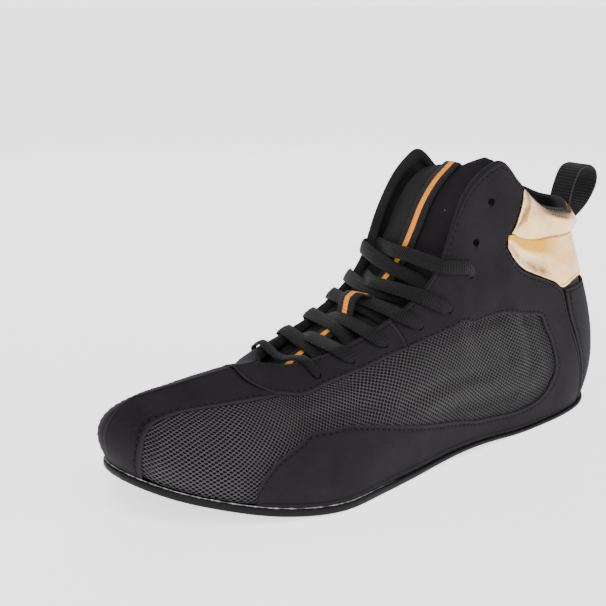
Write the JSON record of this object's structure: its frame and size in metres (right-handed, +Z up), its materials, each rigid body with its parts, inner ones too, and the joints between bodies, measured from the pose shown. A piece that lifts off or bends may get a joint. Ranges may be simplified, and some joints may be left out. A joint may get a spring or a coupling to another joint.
{
  "type": "wrestling shoe",
  "caption": "Left ankle-high laced wrestling shoe with a thin sole, a mesh window, a metallic padded collar and a pull loop at the heel.",
  "frame": {"origin": "on the floor, under the flat patch of the heel on the middle line of the shoe", "axes": "+X towards the heel, toe to -X; -Y the outer (lateral) side of the left foot; +Z up"},
  "size_m": [0.2874, 0.1022, 0.1353],
  "materials": {
    "rubber": "matt black rubber",
    "insole_cloth": "black brushed cloth over foam",
    "mesh_and_lining": "dark grey open mesh over a black lining",
    "microfibre": "black napped microfibre",
    "metallic_leather": "champagne gold metallic coated leather",
    "tongue_cloth": "black padded cloth",
    "webbing": "black woven webbing",
    "lace_cloth": "black flat woven lace"
  },
  "bodies": {
    "root": {"outsole": "rubber", "insole": "insole_cloth", "upper": "mesh_and_lining", "toe_cap": "microfibre", "eyestay": "microfibre", "quarter_lateral": "microfibre", "quarter_medial": "microfibre", "heel_counter": "microfibre", "heel_patch": "metallic_leather", "heel_cuff": "metallic_leather", "tongue": "tongue_cloth", "tongue_ribbon": "webbing", "laces": "lace_cloth", "pull_loop": "webbing"}
  },
  "joints": []
}
